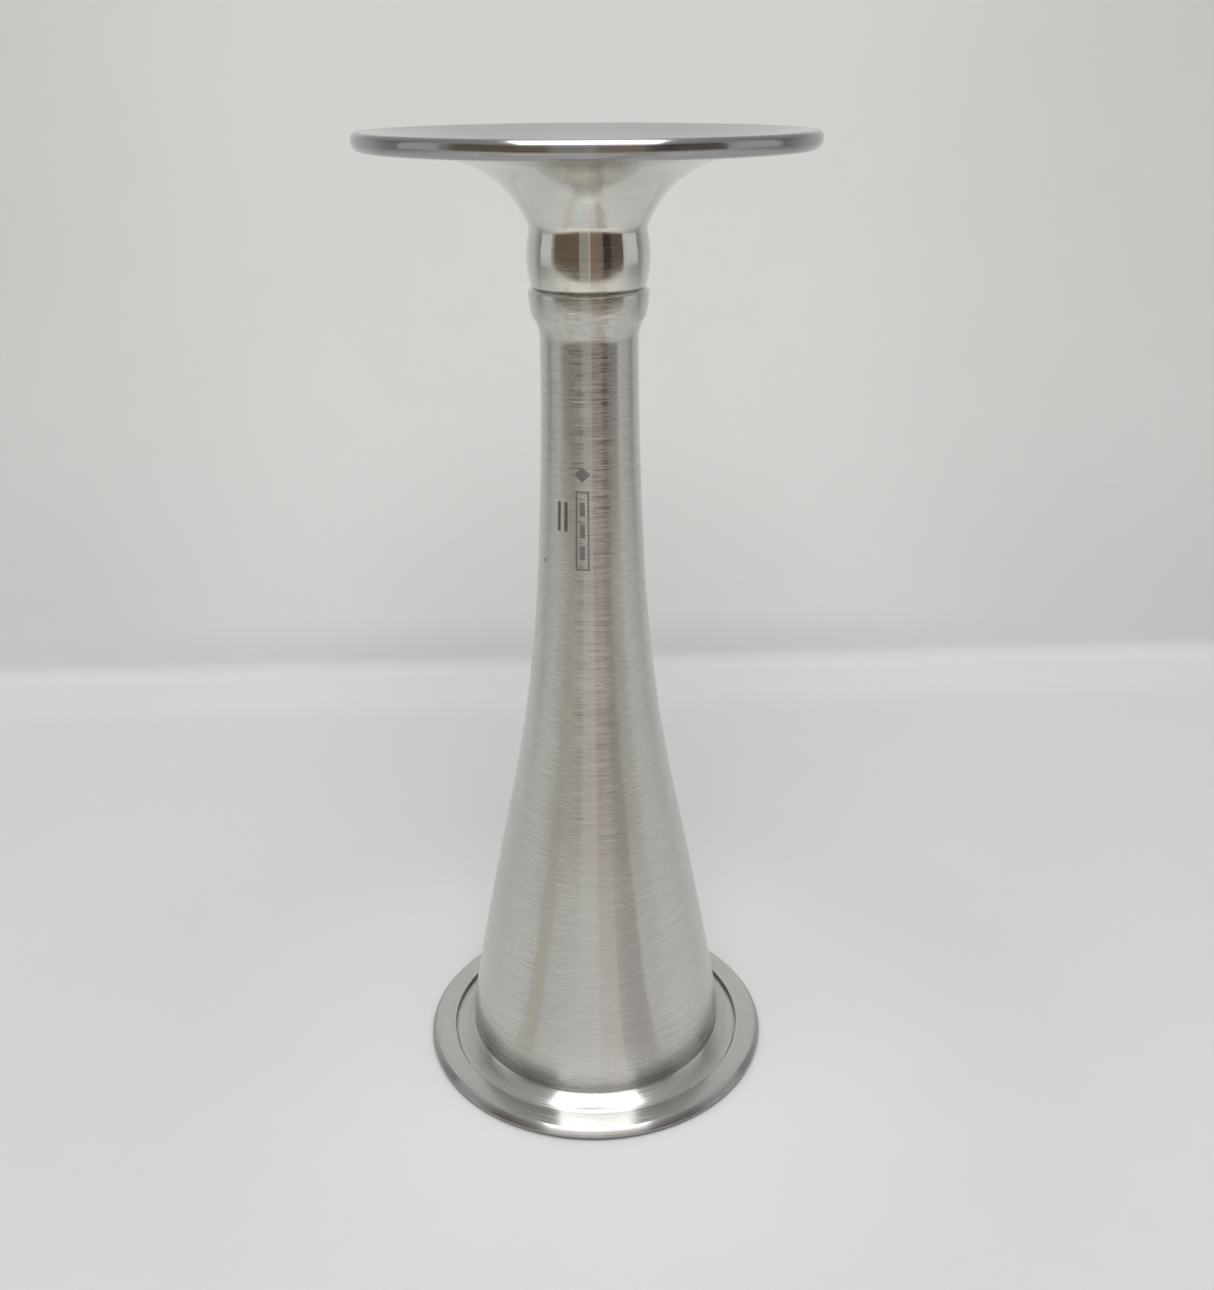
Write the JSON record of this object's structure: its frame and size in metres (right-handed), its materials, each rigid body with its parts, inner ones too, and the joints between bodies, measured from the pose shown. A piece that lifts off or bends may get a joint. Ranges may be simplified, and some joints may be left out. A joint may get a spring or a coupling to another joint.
{
  "type": "fetal listening horn",
  "caption": "Turned metal listening horn: flared bell with a rounded foot ring, slim neck with a collar, and a broad dished ear plate that lifts out of the collar.",
  "frame": {"origin": "centre of the circle on which the foot ring stands", "axes": "+Z along the horn's axis from the foot ring to the ear plate; X and Y are free because every piece is turned about Z"},
  "size_m": [0.0654, 0.0654, 0.155],
  "materials": {
    "horn_metal": "fine turned satin",
    "ring_metal": "fine turned satin",
    "plate_metal": "fine turned satin"
  },
  "bodies": {
    "horn": {"horn_body": "horn_metal", "foot_ring": "ring_metal"},
    "earpiece": {"ear_plate": "plate_metal"}
  },
  "joints": [
    {"name": "ear_plate_lift", "type": "slide", "parent": "horn", "child": "earpiece", "axis": [0, 0, 1], "range_m": [0, 0.03]}
  ]
}
